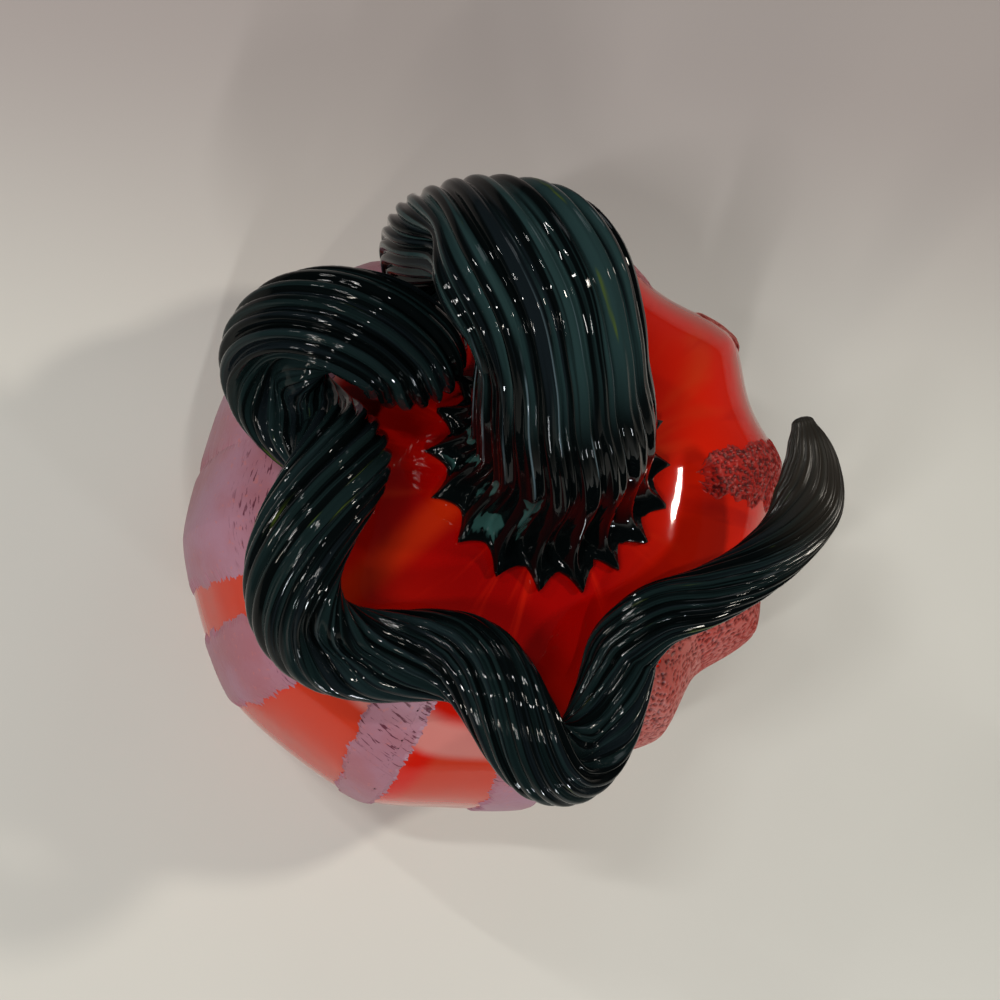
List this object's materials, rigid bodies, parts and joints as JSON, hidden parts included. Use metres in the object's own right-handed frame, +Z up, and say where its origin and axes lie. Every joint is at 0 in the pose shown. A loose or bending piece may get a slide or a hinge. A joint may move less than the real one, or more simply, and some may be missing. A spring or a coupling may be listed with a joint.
{
  "type": "blown glass pumpkin",
  "caption": "Hollow ribbed glass pumpkin with crusted ribs and a thick dark stem that arches over and curls round the crown, standing on a flat base.",
  "frame": {"origin": "middle of the flat base, on the surface that the pumpkin stands on", "axes": "+Z up along the body's axis; +X and +Y are the picture's right and up; the stem's arch leans towards -X +Y and its tip ends towards +X"},
  "size_m": [0.1611, 0.1507, 0.1529],
  "materials": {
    "body": "glossy streaked red and orange",
    "stem": "glossy black green with teal streaks",
    "crust": "matte crackled mauve"
  },
  "bodies": {
    "root": {"body": "body", "stem": "stem", "rib_crust_01": "crust", "rib_crust_02": "crust", "rib_crust_03": "crust", "rib_crust_04": "crust", "rib_crust_05": "crust", "rib_crust_06": "crust", "rib_crust_07": "crust", "rib_crust_08": "crust", "rib_crust_09": "crust", "rib_crust_10": "crust", "rib_crust_11": "crust", "rib_crust_12": "crust"}
  },
  "joints": []
}
